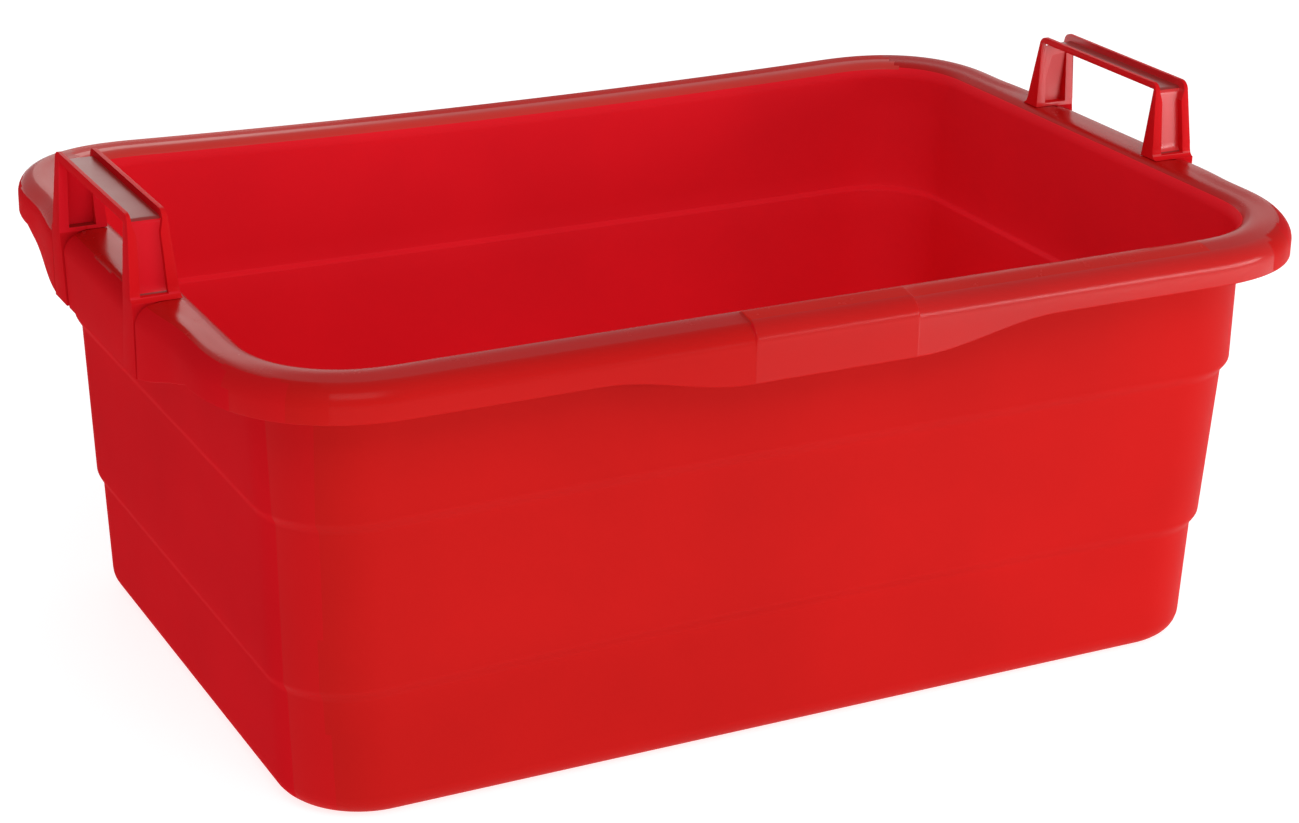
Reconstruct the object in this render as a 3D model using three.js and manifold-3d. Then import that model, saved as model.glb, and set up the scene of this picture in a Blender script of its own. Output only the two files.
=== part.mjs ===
// Mortar mixing tub: a stepped rectangular plastic tub with two upright grips.
// Units are millimetres. +X runs along the length, +Y across the width and +Z up.
// The origin is at the middle of the flat underside.
import * as THREE from 'three';
import { mergeVertices } from 'three/addons/utils/BufferGeometryUtils.js';
import Module from 'manifold-3d';

// ---- Driving dimensions ----
const RIM_LENGTH = 700;
const RIM_WIDTH = 488;
const RIM_HEIGHT = 278;
const RIM_CORNER_RADIUS = 95;
const RIM_CORNER_POWER = 2.225;
const WALL_CORNER_RADIUS = 53;
const WALL = 3;
const FLOOR = 3.5;
const SHOULDER_RADIUS = 12;
const RIM_INNER_RADIUS = 10;
const RIM_FLAT_END = 22;
const GAP = 0.3;
const CORNER_STEPS = 7;

// How far the outer wall lies inside the rim's outer edge, at each height where the wall turns.
const LEDGE_1_TOP = { inset: 31.5, z: 187.5, bow: 5 };
const LEDGE_1_BOTTOM = { inset: 34.8, z: 178.5, bow: 5 };
const LEDGE_2_TOP = { inset: 38.2, z: 82.5, bow: 12 };
const LEDGE_2_BOTTOM = { inset: 41.4, z: 73, bow: 12 };
const FOOT = { inset: 44, radius: 14 };

// The hanging skirt of the rim.
const SKIRT_DEPTH = 22;
const LONG_SIDE_DIP = { depth: 13, from: 55, to: 145 };
const SHORT_SIDE_DIP = { depth: 22, from: 62, to: 165 };

// The long sides of the rim bow in and sag a little at mid-length.
const RIM_BOW = 10;
const RIM_SAG = 3.5;

// The raised plate at the middle of the front side of the rim. It stands out less than it rises.
const PLATE_HALF = 52;
const PLATE_RISE = 1.6;
const PLATE_STANDOUT = 0.6;
const PLATE_EDGE = 0.4;

// The skirt stands out beside each grip and between its straps, so that they lie nearly flush in it.
const SWELL_RISE = 4.2;
const SWELL_FROM = 79;
const SWELL_TO = 135;
const PANEL_RISE = 3.6;
const PANEL_HALF = { top: 57.4, bottom: 52.4 };
const STEP_EDGE = 1.5;

// ---- Grip dimensions: x is measured from the tub's centre and h from the rim's top face ----
// Half widths lie along y. A grip is two upright plates, inner and outer, joined by a web.
const GRIP_TOP = 48.3;
const GRIP_TOP_HALF = { inner: 66, outer: 69 };
const GRIP_FOOT_HALF = { inner: 71.5, outer: 73.5 };
const GRIP_BASE_HALF = 77;
const GRIP_CORNER_RADIUS = 6;
const FOOT_FILLET_HEIGHT = 9;
const GRIP_OUTER_X = { top: 352.5, base: 354.6, strap: 354.4 };
const GRIP_INNER_X = { top: 329.5, base: 325.6 };
const STRAP_BOTTOM = -43;
const STRAP_TOP = 4;
const CUT_MARGIN = 3;
// The bar's underside curves down between the plates. The control height shapes the curve.
const BAR_UNDERSIDE = { inner: 44.4, outer: 43, control: 37.5 };
// Half the width of the opening between the legs: above the bar, at the rim and at the straps' ends.
const OPENING_TOP = { inner: 65, outer: 60.8 };
const OPENING_MIDDLE = { inner: 60.5, outer: 60 };
const OPENING_BOTTOM = { inner: 54, outer: 53.5 };
// The channel between the plates: its sides at rising heights. It widens along the bar.
const CHANNEL = [
  { inner: 332.4, outer: 348.8, h: 2.5 },
  { inner: 333.8, outer: 348, h: 36 },
  { inner: 332.2, outer: 350.2, h: 43 },
  { inner: 332.2, outer: 350.2, h: GRIP_TOP + CUT_MARGIN },
];
// The web's outward surface is the channel's floor, along the bar and down both legs.
const WEB_TOP = 44;
const WEB_TOP_HALF = 64.2;
const WEB_FOOT_HALF = 68;
const WEB_CORNER_RADIUS = 4;
// The pocket in each leg's side towards the opening, as half widths at rising heights.
const POCKET = [{ half: 66.6, h: 2.5 }, { half: 62.9, h: 35 }, { half: 60.5, h: 38.5 }];
const LEG_CENTRE_Y = 66;
const TONGUE = { x: 334, length: 10, width: 9, depth: 15 };
const BARB = { reach: 2, height: 5 };

const wasm = await Module();
wasm.setup();

// ---- Solids ----
function toManifold(geometry) {
  const bare = geometry.index ? geometry.toNonIndexed() : geometry.clone();
  bare.deleteAttribute('normal');
  bare.deleteAttribute('uv');
  const merged = mergeVertices(bare, 1e-4);
  const vertProperties = new Float32Array(merged.attributes.position.array);
  const triVerts = new Uint32Array(merged.index.array);
  return new wasm.Manifold(new wasm.Mesh({ numProp: 3, vertProperties, triVerts }));
}

function toGeometry(manifold) {
  const mesh = manifold.getMesh();
  const geometry = new THREE.BufferGeometry();
  geometry.setAttribute('position', new THREE.BufferAttribute(mesh.vertProperties, 3));
  geometry.setIndex(new THREE.BufferAttribute(mesh.triVerts, 1));
  geometry.computeVertexNormals();
  return geometry;
}

// A closed body through equal rings of points. The rings turn anticlockwise seen from the last one,
// and a fan closes each end.
function loft(rings) {
  const count = rings[0].length;
  const points = rings.flat();
  const triangles = [];
  for (let k = 0; k + 1 < rings.length; k++) {
    for (let i = 0; i < count; i++) {
      const a = k * count + i;
      const b = k * count + (i + 1) % count;
      triangles.push(a, b, b + count, a, b + count, a + count);
    }
  }
  closeEnd(points, triangles, rings[0], 0, true);
  closeEnd(points, triangles, rings.at(-1), (rings.length - 1) * count, false);
  const geometry = new THREE.BufferGeometry().setFromPoints(points);
  geometry.setIndex(triangles);
  return geometry;
}

function closeEnd(points, triangles, ring, first, reversed) {
  const centre = new THREE.Vector3();
  ring.forEach((point) => centre.add(point));
  const hub = points.push(centre.divideScalar(ring.length)) - 1;
  for (let i = 0; i < ring.length; i++) {
    const a = first + i;
    const b = first + (i + 1) % ring.length;
    triangles.push(hub, ...(reversed ? [b, a] : [a, b]));
  }
}

function box(x0, x1, y0, y1, z0, z1) {
  const geometry = new THREE.BoxGeometry(x1 - x0, y1 - y0, z1 - z0);
  return geometry.translate((x0 + x1) / 2, (y0 + y1) / 2, (z0 + z1) / 2);
}

// ---- Tub shell ----
// A rounded rectangle seen from above, as points with their inward normals. A power above 2 makes
// the corners squarer than a circle.
function planOutline(halfX, halfY, radius, power, panelHalf) {
  const alongX = [0, PLATE_HALF, PLATE_HALF + PLATE_EDGE, 70, 85, 100, 115, 130, 150, 205];
  const panelEdge = [panelHalf, panelHalf + PLATE_EDGE];
  const alongY = [0, 30, ...panelEdge, SWELL_FROM - STEP_EDGE, SWELL_FROM, 95, 108, 121, SWELL_TO];
  const mirrored = (list) => [...list.slice(1).reverse().map((v) => -v), ...list];
  const rounded = (value) => Math.sign(value) * Math.abs(value) ** (2 / power);
  const outline = [];
  const addCorner = (signX, signY, start) => {
    for (let i = 0; i <= CORNER_STEPS; i++) {
      const angle = start + (Math.PI / 2) * (i / CORNER_STEPS);
      const nx = Math.cos(angle);
      const ny = Math.sin(angle);
      const x = signX * (halfX - radius) + radius * rounded(nx);
      const y = signY * (halfY - radius) + radius * rounded(ny);
      outline.push({ x, y, nx: -nx, ny: -ny });
    }
  };
  mirrored(alongY).forEach((y) => outline.push({ x: halfX, y, nx: -1, ny: 0 }));
  addCorner(1, 1, 0);
  mirrored(alongX).reverse().forEach((x) => outline.push({ x, y: halfY, nx: 0, ny: -1 }));
  addCorner(-1, 1, Math.PI / 2);
  mirrored(alongY).reverse().forEach((y) => outline.push({ x: -halfX, y, nx: 1, ny: 0 }));
  addCorner(-1, -1, Math.PI);
  mirrored(alongX).forEach((x) => outline.push({ x, y: -halfY, nx: 0, ny: 1 }));
  addCorner(1, -1, -Math.PI / 2);
  return outline;
}

const onLongSide = (point) => Math.abs(point.ny) === 1;
const onShortSide = (point) => Math.abs(point.nx) === 1;

function fade(value, from, to) {
  return 1 - THREE.MathUtils.smoothstep(value, from, to);
}

function skirtDepth(point) {
  const long = onLongSide(point) ? fade(Math.abs(point.x), LONG_SIDE_DIP.from, LONG_SIDE_DIP.to) : 0;
  const short = onShortSide(point) ? fade(Math.abs(point.y), SHORT_SIDE_DIP.from, SHORT_SIDE_DIP.to) : 0;
  return SKIRT_DEPTH + LONG_SIDE_DIP.depth * long + SHORT_SIDE_DIP.depth * short;
}

function plateRise(point) {
  const onFront = onLongSide(point) && point.y < 0;
  return onFront && Math.abs(point.x) <= PLATE_HALF ? PLATE_RISE : 0;
}

function skirtSwell(point, panelHalf) {
  const y = Math.abs(point.y);
  if (!onShortSide(point)) return 0;
  if (y <= panelHalf) return PANEL_RISE;
  return y >= SWELL_FROM ? SWELL_RISE * fade(y, SWELL_FROM, SWELL_TO) : 0;
}

// One ring of the shell. `rim` rings carry the raised plate and the swells around the grips.
function shellRing({ inset, z, corner, power = 2, bow = 0, sag = 0, rim = false, hang = false }) {
  const panelHalf = hang ? PANEL_HALF.bottom : PANEL_HALF.top;
  const outline = planOutline(RIM_LENGTH / 2 - inset, RIM_WIDTH / 2 - inset, corner, power, panelHalf);
  return outline.map((point) => {
    const plate = rim ? plateRise(point) : 0;
    const rise = rim ? plate * (PLATE_STANDOUT / PLATE_RISE) + skirtSwell(point, panelHalf) : 0;
    const x = point.x - point.nx * rise;
    const y = point.y - point.ny * rise;
    const alongSide = 1 - (point.x / (RIM_LENGTH / 2)) ** 2;
    const middle = alongSide * Math.abs(point.y / (RIM_WIDTH / 2 - inset)) ** 4;
    const height = hang ? RIM_HEIGHT - skirtDepth(point) : z + plate;
    return new THREE.Vector3(x, y - Math.sign(y) * bow * middle, height - sag * middle);
  });
}

// Points of a quarter turn in the (inset, z) plane, from one angle to another.
function arc(inset, z, radius, from, to, steps) {
  return Array.from({ length: steps + 1 }, (_, i) => {
    const angle = THREE.MathUtils.degToRad(from + (to - from) * (i / steps));
    return { inset: inset - radius * Math.cos(angle), z: z + radius * Math.sin(angle) };
  });
}

// A ledge is a short S-curve between its lower and upper points.
function ledge(bottom, top, shift) {
  return [0, 0.5, 1].map((t) => ({
    inset: THREE.MathUtils.lerp(bottom.inset, top.inset, THREE.MathUtils.smoothstep(t, 0, 1)) + shift,
    z: THREE.MathUtils.lerp(bottom.z, top.z, t) + shift,
    bow: bottom.bow,
  }));
}

function shellProfile() {
  const top = RIM_HEIGHT;
  const innerTop = top - RIM_INNER_RADIUS;
  const onRim = (point) => ({
    ...point,
    corner: RIM_CORNER_RADIUS - point.inset,
    power: RIM_CORNER_POWER,
    bow: RIM_BOW,
    sag: RIM_SAG,
  });
  const onRimEdge = (point) => ({ ...onRim(point), rim: true });
  const onWall = (point) => ({ ...point, corner: WALL_CORNER_RADIUS });
  const onLining = (point) => ({ ...point, corner: WALL_CORNER_RADIUS - WALL });
  const onFoot = (point) => ({ ...point, corner: WALL_CORNER_RADIUS + FOOT.inset - point.inset });
  const outerWall = [
    ...arc(FOOT.inset + FOOT.radius, FOOT.radius, FOOT.radius, -90, 0, 3).map(onFoot),
    ...ledge(LEDGE_2_BOTTOM, LEDGE_2_TOP, 0).map(onWall),
    ...ledge(LEDGE_1_BOTTOM, LEDGE_1_TOP, 0).map(onWall),
  ];
  const underRim = [
    ...arc(RIM_FLAT_END, innerTop, RIM_INNER_RADIUS - WALL, 180, 90, 2).map(onRim),
    ...arc(SHOULDER_RADIUS, top - SHOULDER_RADIUS, SHOULDER_RADIUS - WALL, 90, 0, 3).map(onRimEdge),
    onRimEdge({ inset: WALL, hang: true }),
  ];
  const rim = [
    onRimEdge({ inset: 0, hang: true }),
    ...arc(SHOULDER_RADIUS, top - SHOULDER_RADIUS, SHOULDER_RADIUS, 0, 90, 4).map(onRimEdge),
    onRimEdge({ inset: RIM_FLAT_END - 0.5, z: top }),
    ...arc(RIM_FLAT_END, innerTop, RIM_INNER_RADIUS, 100, 180, 4).map(onRim),
  ];
  const lining = [
    ...ledge(LEDGE_1_BOTTOM, LEDGE_1_TOP, WALL).reverse().map(onLining),
    ...ledge(LEDGE_2_BOTTOM, LEDGE_2_TOP, WALL).reverse().map(onLining),
    ...arc(FOOT.inset + FOOT.radius, FLOOR + FOOT.radius - WALL, FOOT.radius - WALL, 0, -90, 3).map(onFoot),
  ];
  return [...outerWall, ...underRim, ...rim, ...lining];
}

function slotCutter(side, leg) {
  const x = side * TONGUE.x;
  const y = leg * LEG_CENTRE_Y;
  const halfX = TONGUE.length / 2 + GAP;
  const halfY = TONGUE.width / 2 + GAP;
  return box(x - halfX, x + halfX, y - halfY, y + halfY, RIM_HEIGHT - 12, RIM_HEIGHT + 6);
}

function tubShell() {
  let shell = toManifold(loft(shellProfile().map(shellRing)));
  for (const side of [-1, 1]) {
    for (const leg of [-1, 1]) {
      shell = shell.subtract(toManifold(slotCutter(side, leg)));
    }
  }
  return toGeometry(shell);
}

// ---- Grip, modelled at the +X end of the tub ----
// The cross-section across the rim: strap, shoulder, foot and upright.
function gripSection() {
  const outerEdge = RIM_LENGTH / 2;
  const centreX = outerEdge - SHOULDER_RADIUS;
  const section = new THREE.Shape();
  section.moveTo(GRIP_OUTER_X.strap, STRAP_BOTTOM);
  section.lineTo(GRIP_OUTER_X.base, -STRAP_TOP);
  section.lineTo(GRIP_OUTER_X.base, STRAP_TOP);
  section.lineTo(GRIP_OUTER_X.top, GRIP_TOP);
  section.lineTo(GRIP_INNER_X.top, GRIP_TOP);
  section.lineTo(GRIP_INNER_X.base, GAP);
  section.lineTo(centreX, GAP);
  section.absarc(centreX, -SHOULDER_RADIUS, SHOULDER_RADIUS + GAP, Math.PI / 2, 0, true);
  section.lineTo(outerEdge + GAP, STRAP_BOTTOM);
  return section;
}

function channelSection() {
  const outerSide = CHANNEL.map(({ outer, h }) => new THREE.Vector2(outer, h));
  const innerSide = CHANNEL.map(({ inner, h }) => new THREE.Vector2(inner, h)).reverse();
  return new THREE.Shape([...outerSide, ...innerSide]);
}

// Everything below the bar's curved underside.
function underBarSection() {
  const { inner, outer, control } = BAR_UNDERSIDE;
  const section = new THREE.Shape();
  section.moveTo(GRIP_INNER_X.base - CUT_MARGIN, STRAP_BOTTOM - CUT_MARGIN);
  section.lineTo(GRIP_OUTER_X.base + CUT_MARGIN, STRAP_BOTTOM - CUT_MARGIN);
  section.lineTo(GRIP_OUTER_X.base + CUT_MARGIN, outer);
  section.lineTo(GRIP_OUTER_X.top, outer);
  section.quadraticCurveTo((GRIP_OUTER_X.top + GRIP_INNER_X.top) / 2, control, GRIP_INNER_X.top, inner);
  section.lineTo(GRIP_INNER_X.base - CUT_MARGIN, inner);
  return section;
}

// A prism along y from a section in x and height.
function alongGrip(section) {
  const half = GRIP_BASE_HALF + CUT_MARGIN;
  const prism = new THREE.ExtrudeGeometry(section, { depth: 2 * half, bevelEnabled: false, curveSegments: 5 });
  return toManifold(prism.rotateX(Math.PI / 2).translate(0, half, 0));
}

// The outline seen from the end of the tub, wider at the feet, with round top corners.
function frontRing(x, topHalf, footHalf, top, cornerRadius) {
  const front = new THREE.Shape();
  front.moveTo(-GRIP_BASE_HALF, STRAP_BOTTOM - CUT_MARGIN);
  front.lineTo(GRIP_BASE_HALF, STRAP_BOTTOM - CUT_MARGIN);
  front.lineTo(GRIP_BASE_HALF, GAP);
  front.quadraticCurveTo(footHalf, 2 * GAP, footHalf, FOOT_FILLET_HEIGHT);
  const cornerY = topHalf - cornerRadius;
  const cornerZ = top - cornerRadius;
  front.absarc(cornerY, cornerZ, cornerRadius, 0, Math.PI / 2, false);
  front.absarc(-cornerY, cornerZ, cornerRadius, Math.PI / 2, Math.PI, false);
  front.lineTo(-footHalf, FOOT_FILLET_HEIGHT);
  front.quadraticCurveTo(-footHalf, 2 * GAP, -GRIP_BASE_HALF, GAP);
  return front.getPoints(5).map((point) => new THREE.Vector3(x, point.x, point.y));
}

// The body between two end outlines, one on each side of the grip.
function betweenFaces(topHalf, footHalf, top, cornerRadius) {
  const faces = [['inner', GRIP_INNER_X.base - CUT_MARGIN], ['outer', GRIP_OUTER_X.base + CUT_MARGIN]];
  const ring = ([side, x]) => frontRing(x, topHalf[side], footHalf[side], top, cornerRadius);
  return toManifold(loft(faces.map(ring)));
}

// A rectangular ring across the grip, with its own half width and height at each face.
function openingRing(half, h) {
  const innerX = GRIP_INNER_X.base - CUT_MARGIN;
  const outerX = GRIP_OUTER_X.base + CUT_MARGIN;
  return [
    new THREE.Vector3(innerX, -half.inner, h),
    new THREE.Vector3(outerX, -half.outer, h),
    new THREE.Vector3(outerX, half.outer, h),
    new THREE.Vector3(innerX, half.inner, h),
  ];
}

function openingCutter() {
  const tunnel = loft([
    openingRing(OPENING_BOTTOM, STRAP_BOTTOM - CUT_MARGIN),
    openingRing(OPENING_MIDDLE, 0),
    openingRing(OPENING_TOP, GRIP_TOP + CUT_MARGIN),
  ]);
  return toManifold(tunnel).intersect(alongGrip(underBarSection()));
}

// The channel along the top and down the legs, and the pockets in the legs' other sides.
function webCutter() {
  const both = (value) => ({ inner: value, outer: value });
  const core = betweenFaces(both(WEB_TOP_HALF), both(WEB_FOOT_HALF), WEB_TOP, WEB_CORNER_RADIUS);
  const channel = alongGrip(channelSection());
  const pockets = toManifold(loft(POCKET.map(({ half, h }) => openingRing(both(half), h))));
  return channel.subtract(core).add(channel.intersect(pockets));
}

// A tongue that passes down through the rim, with a barb at each side to hold it there.
function tongue(leg) {
  const y = leg * LEG_CENTRE_Y;
  const halfX = TONGUE.length / 2;
  const halfY = TONGUE.width / 2;
  const post = toManifold(box(TONGUE.x - halfX, TONGUE.x + halfX, y - halfY, y + halfY, -TONGUE.depth, 2));
  const ring = (half, z) => [
    new THREE.Vector3(TONGUE.x - halfX, y - half, z),
    new THREE.Vector3(TONGUE.x + halfX, y - half, z),
    new THREE.Vector3(TONGUE.x + halfX, y + half, z),
    new THREE.Vector3(TONGUE.x - halfX, y + half, z),
  ];
  const barbTop = -WALL - GAP;
  const barb = loft([ring(halfY, barbTop - BARB.height), ring(halfY + BARB.reach, barbTop)]);
  return post.add(toManifold(barb));
}

function grip() {
  const outline = betweenFaces(GRIP_TOP_HALF, GRIP_FOOT_HALF, GRIP_TOP, GRIP_CORNER_RADIUS);
  const solid = alongGrip(gripSection()).intersect(outline);
  const hollowed = solid.subtract(openingCutter()).subtract(webCutter());
  return toGeometry(hollowed.add(tongue(1)).add(tongue(-1)));
}

// ---- Assembly ----
const shellPlastic = new THREE.MeshStandardMaterial({ color: 0xc9191d, roughness: 0.42, metalness: 0 });
const gripPlastic = new THREE.MeshStandardMaterial({ color: 0xc9191d, roughness: 0.35, metalness: 0 });

const group = new THREE.Group();

const shellMesh = new THREE.Mesh(tubShell(), shellPlastic);
shellMesh.name = 'tub_shell';
group.add(shellMesh);

const gripGeometry = grip();
[['handle_right', 0], ['handle_left', Math.PI]].forEach(([name, turn]) => {
  const mesh = new THREE.Mesh(gripGeometry, gripPlastic);
  mesh.name = name;
  mesh.position.z = RIM_HEIGHT;
  mesh.rotation.z = turn;
  group.add(mesh);
});

export default group;
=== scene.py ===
# Mortar mixing tub: fine meshes, moulded-plastic materials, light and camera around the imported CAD.
import math

import bmesh
import bpy
import numpy as np
from mathutils import Matrix, Vector


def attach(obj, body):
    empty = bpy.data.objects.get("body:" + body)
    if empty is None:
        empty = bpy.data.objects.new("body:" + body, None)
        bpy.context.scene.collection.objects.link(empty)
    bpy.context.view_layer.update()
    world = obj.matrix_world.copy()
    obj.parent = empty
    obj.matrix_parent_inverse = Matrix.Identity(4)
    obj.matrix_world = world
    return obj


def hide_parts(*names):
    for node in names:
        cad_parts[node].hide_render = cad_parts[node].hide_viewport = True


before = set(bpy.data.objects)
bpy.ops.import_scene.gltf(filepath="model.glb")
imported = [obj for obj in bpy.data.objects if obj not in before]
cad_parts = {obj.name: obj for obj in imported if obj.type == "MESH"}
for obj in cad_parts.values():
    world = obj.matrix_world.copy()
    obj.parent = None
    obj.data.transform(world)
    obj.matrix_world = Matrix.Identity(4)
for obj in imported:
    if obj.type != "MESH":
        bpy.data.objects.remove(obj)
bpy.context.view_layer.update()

MM = 0.001

# ---- Tub dimensions in millimetres, the same as the CAD's ----
RIM_LENGTH = 700
RIM_WIDTH = 488
RIM_HEIGHT = 278
RIM_CORNER_RADIUS = 95
RIM_CORNER_POWER = 2.225
WALL_CORNER_RADIUS = 53
WALL = 3
FLOOR = 3.5
SHOULDER_RADIUS = 12
RIM_INNER_RADIUS = 10
RIM_FLAT_END = 22
SKIRT_DEPTH = 22
LONG_SIDE_DIP = {"depth": 13, "from": 55, "to": 145}
SHORT_SIDE_DIP = {"depth": 22, "from": 62, "to": 165}
RIM_BOW = 10
RIM_SAG = 3.5
PLATE_HALF = 52
PLATE_RISE = 1.6
SWELL_RISE = 4.2
SWELL_FROM = 79
SWELL_TO = 135
PANEL_RISE = 3.6
PANEL_TOP_HALF = 57.4
PANEL_BOTTOM_HALF = 52.4
LEDGE_1 = {"top": (31.5, 187.5), "bottom": (34.8, 178.5), "bow": 5}
LEDGE_2 = {"top": (38.2, 82.5), "bottom": (41.4, 73), "bow": 12}
FOOT_INSET = 44
FOOT_RADIUS = 14

# ---- Details of the tub that are finer than the CAD's, or differ from it ----
SKIRT_EDGE = 0.8
# How far the rim's top falls to its outer edge along the front. The CAD's is flat.
RIM_CROWN = 1.4
# The CAD's plate stands out 0.6.
PLATE_STANDOUT = 0.2
# How much taller, or shorter, the lining's two ledges are than the outer wall's, at each of their edges.
LINING_SPREAD_1 = -2.8
LINING_SPREAD_2 = 6

# ---- Grip dimensions: x from the tub's centre, h from the rim's top face ----
GRIP_TOP = 48.3
GRIP_TOP_HALF = (66, 69)
GRIP_FOOT_HALF = (71.5, 73.5)
GRIP_BASE_HALF = 77
GRIP_CORNER_RADIUS = 6
FOOT_FILLET_HEIGHT = 9
GRIP_OUTER_X = {"top": 352.5, "base": 354.6, "strap": 354.4}
GRIP_INNER_X = {"top": 329.5, "base": 325.6}
STRAP_BOTTOM = -43
STRAP_TOP = 4
CUT_MARGIN = 3
BAR_UNDERSIDE = {"inner": 44.4, "outer": 43, "control": 37.5}
# The opening between the legs: rows of height and half widths at the grip's inner and outer faces.
OPENING = [(STRAP_BOTTOM - CUT_MARGIN, 54, 53.5), (0, 60.5, 60), (GRIP_TOP + CUT_MARGIN, 65, 60.8)]
# The channel between the grip's two plates, in x and h.
CHANNEL_TOP = GRIP_TOP + CUT_MARGIN
CHANNEL_FOOT = 2.5
CHANNEL = [
    (332.4, CHANNEL_FOOT), (348.8, CHANNEL_FOOT), (348, 36), (350.2, 43),
    (350.2, CHANNEL_TOP), (332.2, CHANNEL_TOP), (332.2, 43), (333.8, 36),
]
WEB_TOP = 44
WEB_TOP_HALF = 64.2
WEB_FOOT_HALF = 68
WEB_CORNER_RADIUS = 4
# The pocket in each leg's side towards the opening, in the same kind of rows.
POCKET = [(CHANNEL_FOOT, 66.6, 66.6), (35, 62.9, 62.9), (38.5, 60.5, 60.5)]
GAP = 0.3


# ---- Mesh helpers ----
def smoothstep(value, start, end):
    t = np.clip((value - start) / (end - start), 0, 1)
    return t * t * (3 - 2 * t)


def fade(value, start, end):
    return 1 - smoothstep(value, start, end)


def new_object(name, vertices, faces):
    mesh = bpy.data.meshes.new(name)
    mesh.from_pydata([Vector(v) * MM for v in vertices], [], faces)
    mesh.validate()
    obj = bpy.data.objects.new(name, mesh)
    bpy.context.scene.collection.objects.link(obj)
    return obj


def loft(name, rings):
    """A closed body through equal rings of points, with a flat face at each end."""
    count = len(rings[0])
    vertices = [tuple(p) for ring in rings for p in ring]
    faces = []
    for k in range(len(rings) - 1):
        for i in range(count):
            a = k * count + i
            b = k * count + (i + 1) % count
            faces.append((a, b, b + count, a + count))
    faces.append(tuple(reversed(range(count))))
    last = (len(rings) - 1) * count
    faces.append(tuple(range(last, last + count)))
    return new_object(name, vertices, faces)


def extrude(name, outline, place):
    """A prism: place(u, v, side) puts a point of the outline on its near or far end."""
    near = [place(u, v, -1) for u, v in outline]
    far = [place(u, v, 1) for u, v in outline]
    obj = loft(name, [near, far])
    fix_normals(obj)
    return obj


def fix_normals(obj):
    bm = bmesh.new()
    bm.from_mesh(obj.data)
    bmesh.ops.recalc_face_normals(bm, faces=bm.faces)
    bm.to_mesh(obj.data)
    bm.free()


def apply_modifiers(obj):
    bpy.context.view_layer.update()
    evaluated = obj.evaluated_get(bpy.context.evaluated_depsgraph_get())
    mesh = bpy.data.meshes.new_from_object(evaluated)
    obj.modifiers.clear()
    obj.data = mesh


def combine(obj, other, operation):
    modifier = obj.modifiers.new("combine", "BOOLEAN")
    modifier.operation = operation
    modifier.solver = "EXACT"
    modifier.object = other
    apply_modifiers(obj)
    bpy.data.objects.remove(other)


def arc(cx, cy, radius, start, end, steps):
    angles = np.radians(np.linspace(start, end, steps + 1))
    return [(cx + radius * math.cos(a), cy + radius * math.sin(a)) for a in angles]


# ---- Tub shell ----
def plan_outline(half_x, half_y, radius, power, panel_half):
    """A rounded rectangle seen from above, as rows of x, y and the inward normal's x and y."""
    edge = PLATE_HALF + np.linspace(-0.6, 0.9, 6)
    along_x = np.concatenate([np.arange(0, 51, 10), edge, np.arange(60, 206, 7.5), np.arange(215, 250, 10)])
    panel = panel_half + np.linspace(-0.5, 0.5, 5)
    foot = SWELL_FROM + np.linspace(-1.6, 0.4, 5)
    along_y = np.concatenate([np.arange(0, 50, 8), panel, [66, 72], foot, np.arange(84, 140, 4)])
    mirrored = lambda values: np.concatenate([-values[:0:-1], values])
    sides = []

    def straight(x, y, nx, ny):
        n = len(x)
        sides.append(np.c_[x, y, np.full(n, nx), np.full(n, ny)])

    def corner(sx, sy, start):
        angle = np.radians(np.linspace(start, start + 90, 25))
        nx, ny = np.cos(angle), np.sin(angle)
        rounded = lambda v: np.sign(v) * np.abs(v) ** (2 / power)
        x = sx * (half_x - radius) + radius * rounded(np.where(np.abs(nx) < 1e-9, 0, nx))
        y = sy * (half_y - radius) + radius * rounded(np.where(np.abs(ny) < 1e-9, 0, ny))
        # A little short of unit length, so that only a straight side has a normal of exactly 1.
        sides.append(np.c_[x, y, -nx * 0.999, -ny * 0.999])

    ys, xs = mirrored(along_y), mirrored(along_x)
    straight(np.full(len(ys), half_x), ys, -1, 0)
    corner(1, 1, 0)
    straight(xs[::-1], np.full(len(xs), half_y), 0, -1)
    corner(-1, 1, 90)
    straight(np.full(len(ys), -half_x), ys[::-1], 1, 0)
    corner(-1, -1, 180)
    straight(xs, np.full(len(xs), -half_y), 0, 1)
    corner(1, -1, -90)
    return np.vstack(sides)


def skirt_depth(points):
    x, y, nx, ny = points.T
    on_long, on_short = np.abs(ny) == 1, np.abs(nx) == 1
    dip = lambda place, size: size["depth"] * fade(np.abs(place), size["from"], size["to"])
    long_dip, short_dip = dip(x, LONG_SIDE_DIP), dip(y, SHORT_SIDE_DIP)
    return SKIRT_DEPTH + np.where(on_long, long_dip, 0) + np.where(on_short, short_dip, 0)


def plate_rise(points):
    x, ny = points[:, 0], points[:, 3]
    return np.where(ny == 1, PLATE_RISE * fade(np.abs(x), PLATE_HALF - 0.4, PLATE_HALF + 0.7), 0)


def swell_rise(points, panel_half):
    y, nx = np.abs(points[:, 1]), points[:, 2]
    beside = SWELL_RISE * fade(y, SWELL_FROM, SWELL_TO) * smoothstep(y, SWELL_FROM - 1.6, SWELL_FROM)
    between_straps = PANEL_RISE * fade(y, panel_half - 0.5, panel_half + 0.5)
    return np.where(np.abs(nx) == 1, beside + between_straps, 0)


def crown_share(points):
    """How far the rim's top falls to its outer edge: fully at the front, not at all under the grips, and with
    a small rise elsewhere."""
    y, ny = np.abs(points[:, 1]), points[:, 3]
    front = smoothstep(ny, 0.2, 0.95)
    elsewhere = fade(ny, 0, 0.5) * smoothstep(y, SWELL_FROM - 2, SWELL_FROM + 40)
    return front - 0.8 * elsewhere


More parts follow.
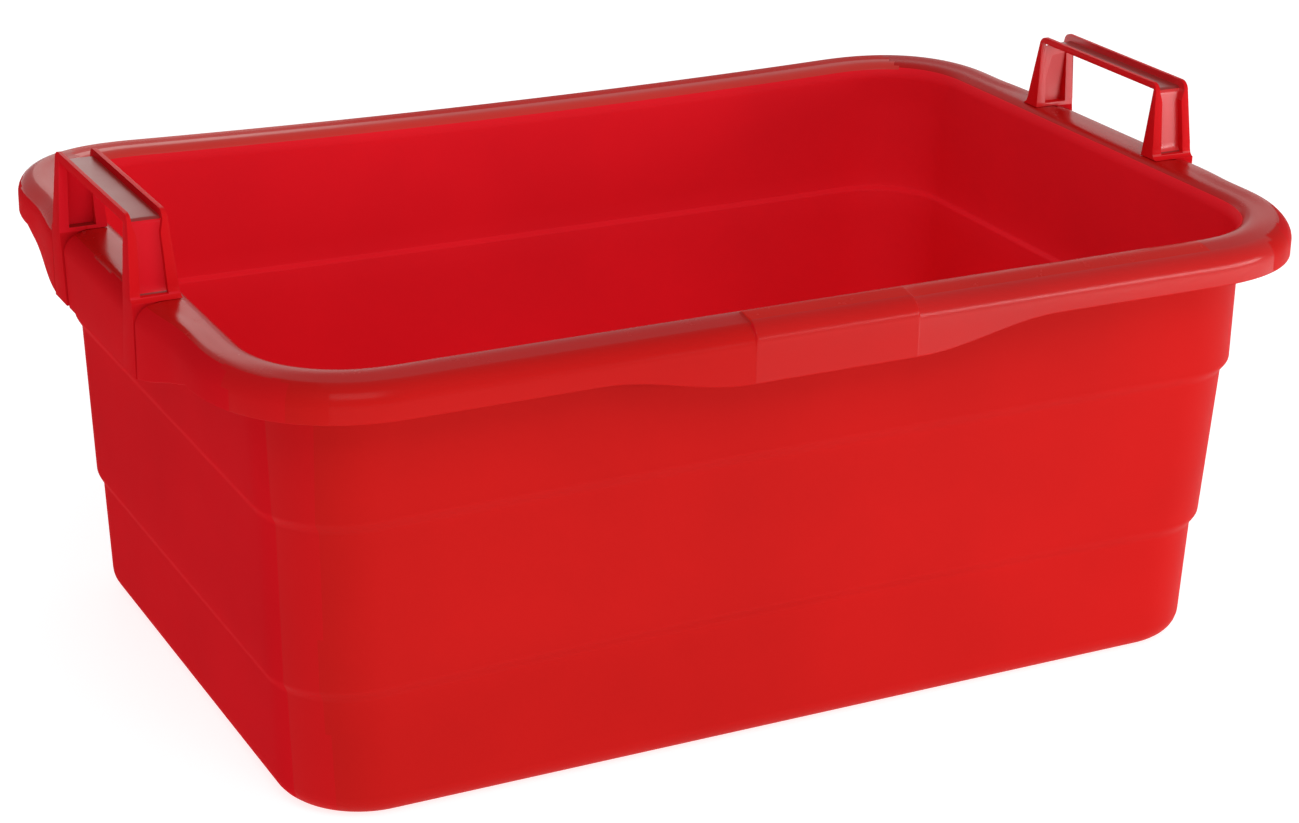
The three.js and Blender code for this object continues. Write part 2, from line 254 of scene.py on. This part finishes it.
def shell_ring(inset, z, corner, power=2, bow=0, sag=0, rim=False, hang=None, crown=0):
    """One ring of the shell, inset from the rim's outer edge. The skirt's lower rings take their height above
    its edge from hang, and not from z."""
    panel_half = PANEL_TOP_HALF if hang is None else PANEL_BOTTOM_HALF
    points = plan_outline(RIM_LENGTH / 2 - inset, RIM_WIDTH / 2 - inset, corner, power, panel_half)
    x, y, nx, ny = points.T
    plate = plate_rise(points) if rim else 0
    rise = plate * PLATE_STANDOUT / PLATE_RISE + swell_rise(points, panel_half) if rim else 0
    middle = (1 - (x / (RIM_LENGTH / 2)) ** 2) * np.abs(y / (RIM_WIDTH / 2 - inset)) ** 4
    height = z + plate - crown * crown_share(points)
    if hang is not None:
        height = RIM_HEIGHT - skirt_depth(points) + hang
    return np.c_[x - nx * rise, y - ny * rise - np.sign(y) * bow * middle, height - sag * middle]


def turn(inset, z, radius, start, end, steps):
    """Points of a quarter turn in the (inset, z) plane."""
    return [(inset - u, z + v) for u, v in arc(0, 0, radius, start, end, steps)]


def ledge(step, shift, spread=0):
    (i0, z0), (i1, z1) = step["bottom"], step["top"]
    z0, z1 = z0 - spread, z1 + spread
    inset = lambda t: i0 + (i1 - i0) * smoothstep(t, 0, 1) + shift
    height = lambda t: z0 + (z1 - z0) * t + shift
    return [(inset(t), height(t), step["bow"]) for t in np.linspace(0, 1, 9)]


def between(a, b, steps):
    """Rings part of the way from one wall point to the next, so that the bow grows evenly."""
    return [tuple(np.array(a) + (np.array(b) - np.array(a)) * k / steps) for k in range(1, steps)]


# Slots of the shell's materials. SKIRT is the front skirt to the left of the raised plate, the slot after it
# is the plate, and the last slot is the skirt to the plate's right.
END_WALL, RIM_ENDS, LINING, LONG_WALL, RIM_LONG, CORNER_WALL, LIP, SKIRT = range(8)
# How far the long sides' rims reach to the left and right, at the front and at the back, and where they begin.
LONG_SIDE_HALF = RIM_LENGTH / 2 - RIM_CORNER_RADIUS
BACK_HALF = LONG_SIDE_HALF + 45
RIM_INSIDE_Y = RIM_WIDTH / 2 - RIM_FLAT_END - RIM_INNER_RADIUS - 2 * RIM_BOW
# The lip is the upper part of the rim's inner turn, at the back.
LIP_RINGS = 6
# How many rings the rim's gloss reaches down over the shoulder, at the ends.
GLOSS_RINGS_BEHIND = 9
GLOSS_RINGS_AHEAD = 3
# Which way a wall faces: 1 is straight to the front, 0 sideways and -1 straight to the back.
SKIRT_FACING = 0.93
WALL_FACING = 0.8
LEFT_CORNER_FACING = 0.4
RIGHT_CORNER_FACING = -0.2


def shell_material(ring, center, normal, skirt_from, rim_from, inside_from, last_ring):
    """The slot of a face, from the ring that it starts at, its place in millimetres and its direction."""
    x, y, _ = center
    facing = -normal.y / max(math.hypot(normal.x, normal.y), 1e-6)
    reach = GLOSS_RINGS_BEHIND if y > SWELL_FROM else GLOSS_RINGS_AHEAD
    gloss_from = rim_from - reach * (1 - min(abs(facing), 1)) ** 0.7
    on_front = y < -RIM_INSIDE_Y and -PLATE_HALF < x < LONG_SIDE_HALF
    on_back = y > RIM_INSIDE_Y and abs(x) < BACK_HALF
    if ring >= last_ring:
        return LINING if normal.z > 0 else END_WALL
    if on_back and inside_from - LIP_RINGS <= ring <= inside_from:
        return LIP
    if ring >= inside_from:
        return LINING
    if ring >= gloss_from:
        return RIM_LONG if on_front or on_back else RIM_ENDS
    # Front-facing skirts and walls take the darker copy of the red (painted shade), and corners one between it
    # and the ends' red.
    if facing > SKIRT_FACING and ring >= skirt_from:
        return SKIRT + (x > -PLATE_HALF) + (x > PLATE_HALF)
    if facing > WALL_FACING:
        return LONG_WALL
    if facing > (LEFT_CORNER_FACING if x < 0 else RIGHT_CORNER_FACING):
        return CORNER_WALL
    return END_WALL


def tub_shell():
    top = RIM_HEIGHT
    inner_top = top - RIM_INNER_RADIUS
    r = FOOT_RADIUS
    rings = []
    rim_shape = dict(power=RIM_CORNER_POWER, bow=RIM_BOW, sag=RIM_SAG)
    rim_plan = lambda inset: dict(corner=RIM_CORNER_RADIUS - inset, **rim_shape)
    on_rim = lambda i, z: rings.append(shell_ring(i, z, **rim_plan(i)))
    on_edge = lambda i, z=0, hang=None, crown=0: rings.append(
        shell_ring(i, z, rim=True, hang=hang, crown=crown, **rim_plan(i)))

    foot = turn(FOOT_INSET + r, r, r, -90, 0, 8)
    for inset, z in foot:
        rings.append(shell_ring(inset, z, WALL_CORNER_RADIUS + FOOT_INSET - inset))
    wall = [(*foot[-1], 0), *ledge(LEDGE_2, 0), *ledge(LEDGE_1, 0)]
    for a, b in zip(wall, wall[1:]):
        for inset, z, bow in [*(between(a, b, 6) if b[1] - a[1] > 20 else []), b]:
            rings.append(shell_ring(inset, z, WALL_CORNER_RADIUS, bow=bow))
    for inset, z in turn(RIM_FLAT_END, inner_top, RIM_INNER_RADIUS - WALL, 180, 90, 5):
        on_rim(inset, z)
    for inset, z in turn(SHOULDER_RADIUS, top - SHOULDER_RADIUS, SHOULDER_RADIUS - WALL, 90, 0, 6):
        on_edge(inset, z)
    e = SKIRT_EDGE
    on_edge(WALL, hang=e)
    on_edge(WALL - e * 0.3, hang=e * 0.3)
    on_edge(WALL - e, hang=0)
    on_edge(e, hang=0)
    on_edge(e * 0.3, hang=e * 0.3)
    on_edge(0, hang=e)
    skirt_from = len(rings) - 1
    for inset, z in turn(SHOULDER_RADIUS, top - SHOULDER_RADIUS, SHOULDER_RADIUS, 0, 83, 14):
        on_edge(inset, z, crown=RIM_CROWN)
    rim_from = len(rings) - 2
    on_edge(15, top, crown=RIM_CROWN * 0.45)
    on_edge(18, top, crown=RIM_CROWN * 0.12)
    on_edge(RIM_FLAT_END - 2, top)
    for inset, z in turn(RIM_FLAT_END, inner_top, RIM_INNER_RADIUS, 95, 180, 9):
        on_rim(inset, z)
    inside_from = len(rings) - 6
    lining = [(RIM_FLAT_END + RIM_INNER_RADIUS, inner_top, RIM_BOW)]
    lining += ledge(LEDGE_1, WALL, LINING_SPREAD_1)[::-1]
    lining += ledge(LEDGE_2, WALL, LINING_SPREAD_2)[::-1]
    lining.append((FOOT_INSET + WALL, FLOOR + r - WALL, 0))
    for a, b in zip(lining, lining[1:]):
        for inset, z, bow in [*(between(a, b, 6) if a[1] - b[1] > 20 else []), b]:
            rings.append(shell_ring(inset, z, WALL_CORNER_RADIUS - WALL, bow=bow))
    for inset, z in turn(FOOT_INSET + r, FLOOR + r - WALL, r - WALL, 0, -90, 8)[1:]:
        rings.append(shell_ring(inset, z, WALL_CORNER_RADIUS + FOOT_INSET - inset))

    obj = loft("tub_body", rings)
    fix_normals(obj)
    obj.data.shade_smooth()
    obj.data.set_sharp_from_angle(angle=math.radians(50))
    starts = skirt_from, rim_from, inside_from, len(rings) - 1
    for polygon in obj.data.polygons:
        ring = polygon.index // len(rings[0])
        polygon.material_index = shell_material(ring, polygon.center / MM, polygon.normal, *starts)
    return obj


# ---- Grip, built at the +X end ----
FACE_X = (GRIP_INNER_X["base"] - CUT_MARGIN, GRIP_OUTER_X["base"] + CUT_MARGIN)
# Slots of the grip's materials, and where the channel and the outer plate's inner face are.
PLATES, WEB, CHANNEL_FLOOR, EDGES, OUTSIDE = range(5)
CHANNEL_FACES = (333, 349.4)
OUTER_PLATE_X = 349
BAR_H = 38


def bezier(start, control, end, steps):
    """Points of a quadratic curve after its start."""
    ts = np.linspace(0, 1, steps + 1)[1:]
    at = lambda t, k: (1 - t) ** 2 * start[k] + 2 * t * (1 - t) * control[k] + t * t * end[k]
    return [(at(t, 0), at(t, 1)) for t in ts]


def along_grip(name, section):
    return extrude(name, section, lambda x, h, side: (x, side * (GRIP_BASE_HALF + CUT_MARGIN), h))


def front_ring(x, top_half, foot_half, top, radius):
    """The outline seen from the end of the tub, wider at the feet, with round top corners."""
    base = (GRIP_BASE_HALF, GAP)
    side = [(GRIP_BASE_HALF, STRAP_BOTTOM - CUT_MARGIN), base]
    side += bezier(base, (foot_half, 2 * GAP), (foot_half, FOOT_FILLET_HEIGHT), 7)
    side += arc(top_half - radius, top - radius, radius, 0, 90, 8)
    return [(x, y, h) for y, h in side + [(-y, h) for y, h in reversed(side)]]


def between_faces(name, top_half, foot_half, top, radius):
    rings = [front_ring(x, t, f, top, radius) for x, t, f in zip(FACE_X, top_half, foot_half)]
    obj = loft(name, rings)
    fix_normals(obj)
    return obj


def opening_loft(name, rows):
    rings = []
    for h, inner, outer in rows:
        x0, x1 = FACE_X
        rings.append([(x0, -inner, h), (x1, -outer, h), (x1, outer, h), (x0, inner, h)])
    obj = loft(name, rings)
    fix_normals(obj)
    return obj


def grip():
    edge_x = RIM_LENGTH / 2
    ox, ix = GRIP_OUTER_X, GRIP_INNER_X
    section = [(ox["strap"], STRAP_BOTTOM), (ox["base"], -STRAP_TOP), (ox["base"], STRAP_TOP)]
    section.append((ox["top"], GRIP_TOP))
    section += [(ix["top"], GRIP_TOP), (ix["base"], GAP), (edge_x - SHOULDER_RADIUS, GAP)]
    section += arc(edge_x - SHOULDER_RADIUS, -SHOULDER_RADIUS, SHOULDER_RADIUS + GAP, 84, 0, 8)
    section += [(edge_x + GAP, STRAP_BOTTOM)]
    body = along_grip("grip", section)
    for material in (plates, web, channel_floor_shaded, edges, end_wall):
        body.data.materials.append(material)
    outline = between_faces("outline", GRIP_TOP_HALF, GRIP_FOOT_HALF, GRIP_TOP, GRIP_CORNER_RADIUS)
    combine(body, outline, "INTERSECT")

    bar = BAR_UNDERSIDE
    low = STRAP_BOTTOM - 2 * CUT_MARGIN
    far = FACE_X[1] + 1
    under = [(FACE_X[0] - 1, low), (far, low), (far, bar["outer"]), (ox["top"], bar["outer"])]
    middle = (ox["top"] + ix["top"]) / 2
    under += bezier(under[-1], (middle, bar["control"]), (ix["top"], bar["inner"]), 10)
    under.append((FACE_X[0] - 1, bar["inner"]))
    opening = opening_loft("opening", OPENING)
    combine(opening, along_grip("under_bar", under), "INTERSECT")
    combine(body, opening, "DIFFERENCE")

    channel = along_grip("channel", CHANNEL)
    web_halves = [WEB_TOP_HALF] * 2, [WEB_FOOT_HALF] * 2
    core = between_faces("core", *web_halves, WEB_TOP, WEB_CORNER_RADIUS)
    combine(channel, core, "DIFFERENCE")
    combine(body, channel, "DIFFERENCE")
    pockets = along_grip("pockets", CHANNEL)
    combine(pockets, opening_loft("pocket_height", POCKET), "INTERSECT")
    combine(body, pockets, "DIFFERENCE")

    bm = bmesh.new()
    bm.from_mesh(body.data)
    bmesh.ops.remove_doubles(bm, verts=bm.verts, dist=2e-5)
    bmesh.ops.dissolve_limit(bm, angle_limit=math.radians(1), verts=bm.verts, edges=bm.edges)
    bm.to_mesh(body.data)
    bm.free()
    bevel = body.modifiers.new("bevel", "BEVEL")
    bevel.width = 0.8 * MM
    bevel.segments = 3
    bevel.limit_method = "ANGLE"
    bevel.angle_limit = math.radians(32)
    bevel.material = EDGES
    apply_modifiers(body)
    body.data.shade_smooth()
    body.data.set_sharp_from_angle(angle=math.radians(40))
    for polygon in body.data.polygons:
        x, _, h = polygon.center / MM
        between_plates = CHANNEL_FACES[0] < x < CHANNEL_FACES[1] and abs(polygon.normal.x) < 0.5
        if between_plates and CHANNEL_FOOT < h < WEB_TOP + 1:
            polygon.material_index = CHANNEL_FLOOR if polygon.normal.z > 0.7 else WEB
        elif polygon.normal.x > 0.8 or h < 0:
            polygon.material_index = OUTSIDE
        elif polygon.normal.x < -0.8 and x > OUTER_PLATE_X and h > BAR_H:
            polygon.material_index = WEB
    return body


# ---- Materials ----
def plastic(name, color, roughness, specular, grain, grain_size):
    """Moulded plastic: faint colour variation, uneven gloss and a fine or a smooth surface."""
    material = bpy.data.materials.new(name)
    material.use_nodes = True
    nodes, links = material.node_tree.nodes, material.node_tree.links
    shader = nodes["Principled BSDF"]
    shader.inputs["Specular IOR Level"].default_value = specular
    place = nodes.new("ShaderNodeTexCoord")

    def noise(scale, detail, factor):
        node = nodes.new("ShaderNodeTexNoise")
        node.inputs["Scale"].default_value = scale
        node.inputs["Detail"].default_value = detail
        node.inputs["Roughness"].default_value = factor
        links.new(place.outputs["Object"], node.inputs["Vector"])
        return node

    cloud = noise(7, 3, 0.5)
    tint = nodes.new("ShaderNodeValToRGB")
    tint.color_ramp.elements[0].position = 0.3
    tint.color_ramp.elements[1].position = 0.7
    tint.color_ramp.elements[0].color = (*[c * 0.94 for c in color], 1)
    tint.color_ramp.elements[1].color = (*[min(c * 1.05, 1) for c in color], 1)
    links.new(cloud.outputs["Fac"], tint.inputs["Fac"])
    links.new(tint.outputs["Color"], shader.inputs["Base Color"])

    mottle = noise(60, 4, 0.6)
    gloss = nodes.new("ShaderNodeMapRange")
    gloss.inputs["To Min"].default_value = roughness - 0.05
    gloss.inputs["To Max"].default_value = roughness + 0.05
    links.new(mottle.outputs["Fac"], gloss.inputs["Value"])
    links.new(gloss.outputs["Result"], shader.inputs["Roughness"])

    fine = noise(1 / (grain_size * MM), 2, 0.5)
    bump = nodes.new("ShaderNodeBump")
    bump.inputs["Strength"].default_value = 1
    bump.inputs["Distance"].default_value = grain * MM
    links.new(fine.outputs["Fac"], bump.inputs["Height"])
    links.new(bump.outputs["Normal"], shader.inputs["Normal"])
    return material


RED = (0.6, 0.007, 0.012)
# A darker copy of the red for walls and skirts facing the front: painted shade that evens out the strong key
# and side light there.
RED_FRONT_SHADED = (0.52, 0.008, 0.007)
# A much lighter copy of the red for the lining: painted light that makes up for the shade and occlusion inside
# the tub.
RED_INSIDE_LIT = (0.88, 0.014, 0.026)
SKIRT_GLOSS = (0.07, 0.15, 0.26)
# A darker copy of the red for the rim's top at the ends: painted shade offsetting the strong light on
# up-facing faces.
RED_RIM_SHADED = (0.5, 0.006, 0.005)
# A lighter copy of the red for the grips: painted light that makes up for the shade on their legs and bar.
RED_GRIP_LIT = (0.7, 0.008, 0.012)
end_wall = plastic("red_end_plastic", RED, 0.5, 0.001, 0.04, 1.2)
long_wall = plastic("red_grained_plastic", RED_FRONT_SHADED, 0.5, 0.04, 0.07, 1.2)
# The corner walls take a red between the ends' and the front's darker copy, blending the painted shade.
corner_wall = plastic("red_corner_plastic", (0.57, 0.008, 0.01), 0.5, 0.02, 0.04, 1.2)
skirt = []
for k, gloss in enumerate(SKIRT_GLOSS):
    skirt.append(plastic(f"red_skirt_plastic_{k}", RED_FRONT_SHADED, 0.22, gloss, 0.02, 1.2))
rim_long = plastic("red_long_rim_plastic", (0.6, 0.008, 0.004), 0.26, 0.07, 0.01, 3)
# The lip's lighter, more orange red is a painted highlight along the back rim's inner turn, on top of its real
# gloss.
lip = plastic("red_lip_plastic", (0.66, 0.018, 0.01), 0.3, 0.5, 0.01, 3)
rim_ends = plastic("red_rim_plastic", RED_RIM_SHADED, 0.26, 0.16, 0.01, 3)
lining = plastic("red_lining_plastic", RED_INSIDE_LIT, 0.45, 0.03, 0.01, 3)
plates = plastic("red_plate_plastic", RED_GRIP_LIT, 0.3, 0.03, 0.01, 3)
edges = plastic("red_edge_plastic", RED_GRIP_LIT, 0.25, 0.3, 0.01, 3)
web = plastic("red_web_plastic", RED_GRIP_LIT, 0.3, 0.75, 0.01, 3)
# The left grip's webs take a lighter red: painted light standing in for the shade under the bar.
web_left_lit = plastic("red_left_web_plastic", (0.75, 0.009, 0.02), 0.3, 0.08, 0.01, 3)
edges_left = plastic("red_left_edge_plastic", RED_GRIP_LIT, 0.25, 0.8, 0.01, 3)
# The channel floor's much darker red is painted shade in the recess between the grip's plates.
channel_floor_shaded = plastic("red_channel_plastic", (0.3, 0.01, 0.008), 0.3, 0.5, 0.01, 3)

# ---- Pieces ----
shell = tub_shell()
for material in (end_wall, rim_ends, lining, long_wall, rim_long, corner_wall, lip, *skirt):
    shell.data.materials.append(material)
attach(shell, "root")
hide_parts("tub_shell")

body = grip()
for name, angle in (("handle_right", 0), ("handle_left", math.pi)):
    obj = bpy.data.objects.new("grip_" + name.split("_")[1], body.data.copy())
    bpy.context.scene.collection.objects.link(obj)
    obj.data.transform(Matrix.Translation((0, 0, RIM_HEIGHT * MM)) @ Matrix.Rotation(angle, 4, "Z"))
    # The left grip gets the lighter web red, painted light in the shade under its bar, and glossier edges.
    if name == "handle_left":
        obj.data.materials[WEB] = web_left_lit
        obj.data.materials[EDGES] = edges_left
    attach(obj, "root")
    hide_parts(name)
bpy.data.objects.remove(body)


# ---- Floor, light and camera ----
def flat_material(name, color, roughness, glow):
    material = bpy.data.materials.new(name)
    material.use_nodes = True
    shader = material.node_tree.nodes["Principled BSDF"]
    shader.inputs["Base Color"].default_value = (*color, 1)
    shader.inputs["Roughness"].default_value = roughness
    shader.inputs["Emission Color"].default_value = (1, 1, 1, 1)
    shader.inputs["Emission Strength"].default_value = glow
    return material


FLOOR_HALF = 9000
FLOOR_HEIGHT = -0.2
signs = ((-1, -1), (1, -1), (1, 1), (-1, 1))
corners = [(FLOOR_HALF * sx, FLOOR_HALF * sy, FLOOR_HEIGHT) for sx, sy in signs]
floor = new_object("floor", corners, [(0, 1, 2, 3)])
floor.data.materials.append(flat_material("pale_floor", (0.45, 0.45, 0.45), 0.9, 0.8))

world = bpy.data.worlds.new("studio")
bpy.context.scene.world = world
world.use_nodes = True
background = world.node_tree.nodes["Background"]
background.inputs["Color"].default_value = (1, 1, 1, 1)
background.inputs["Strength"].default_value = 0.5
bpy.context.scene.view_settings.view_transform = "Standard"


def area_light(name, place, target, size, power, color=(1, 1, 1)):
    data = bpy.data.lights.new(name, "AREA")
    data.color = color
    data.shape = "RECTANGLE"
    data.size, data.size_y = size
    data.energy = power
    obj = bpy.data.objects.new(name, data)
    obj.location = place
    obj.rotation_euler = (Vector(target) - Vector(place)).to_track_quat("-Z", "Y").to_euler()
    bpy.context.scene.collection.objects.link(obj)


WARM = (1, 0.9, 0.84)
area_light("key", (-0.3, -2.3, 2.6), (0, 0, 0.15), (1.6, 1.6), 26.5)
area_light("floor_right", (0.82, -0.88, 0.28), (0.82, -0.87, 0), (0.5, 0.5), 6, WARM)
area_light("side", (1.5, -1.65, 0.5), (0.1, -0.2, 0.25), (1.3, 0.34), 10)
area_light("back_left", (0.4, 2.5, 1.1), (0, 0, 0.3), (0.75, 1.2), 3.2, WARM)
area_light("back_right", (2.4, 2.5, 1.1), (0.3, 0, 0.3), (1.0, 1.2), 2.5, WARM)

CAMERA_PLACE = (-0.80273, -1.56526, 0.82727)
CAMERA_AZIMUTH, CAMERA_ELEVATION, CAMERA_ROLL = -27.2475, 21.6064, 1.1515
CAMERA_SENSOR_MM = 36
CAMERA_LENS_MM = 82.57275
azimuth, elevation, roll = (math.radians(a) for a in (CAMERA_AZIMUTH, CAMERA_ELEVATION, CAMERA_ROLL))
forward = Vector((
    -math.sin(azimuth) * math.cos(elevation),
    math.cos(azimuth) * math.cos(elevation),
    -math.sin(elevation),
))
right = forward.cross(Vector((0, 0, 1))).normalized()
up = right.cross(forward)
tilted_right = math.cos(roll) * right + math.sin(roll) * up
tilted_up = -math.sin(roll) * right + math.cos(roll) * up
camera = bpy.data.objects.new("camera", bpy.data.cameras.new("camera"))
camera.matrix_world = Matrix.Translation(CAMERA_PLACE) @ Matrix((
    (tilted_right.x, tilted_up.x, -forward.x, 0),
    (tilted_right.y, tilted_up.y, -forward.y, 0),
    (tilted_right.z, tilted_up.z, -forward.z, 0),
    (0, 0, 0, 1),
))
camera.data.sensor_width = CAMERA_SENSOR_MM
camera.data.lens = CAMERA_LENS_MM
camera.data.clip_end = 50
bpy.context.scene.collection.objects.link(camera)
bpy.context.scene.camera = camera
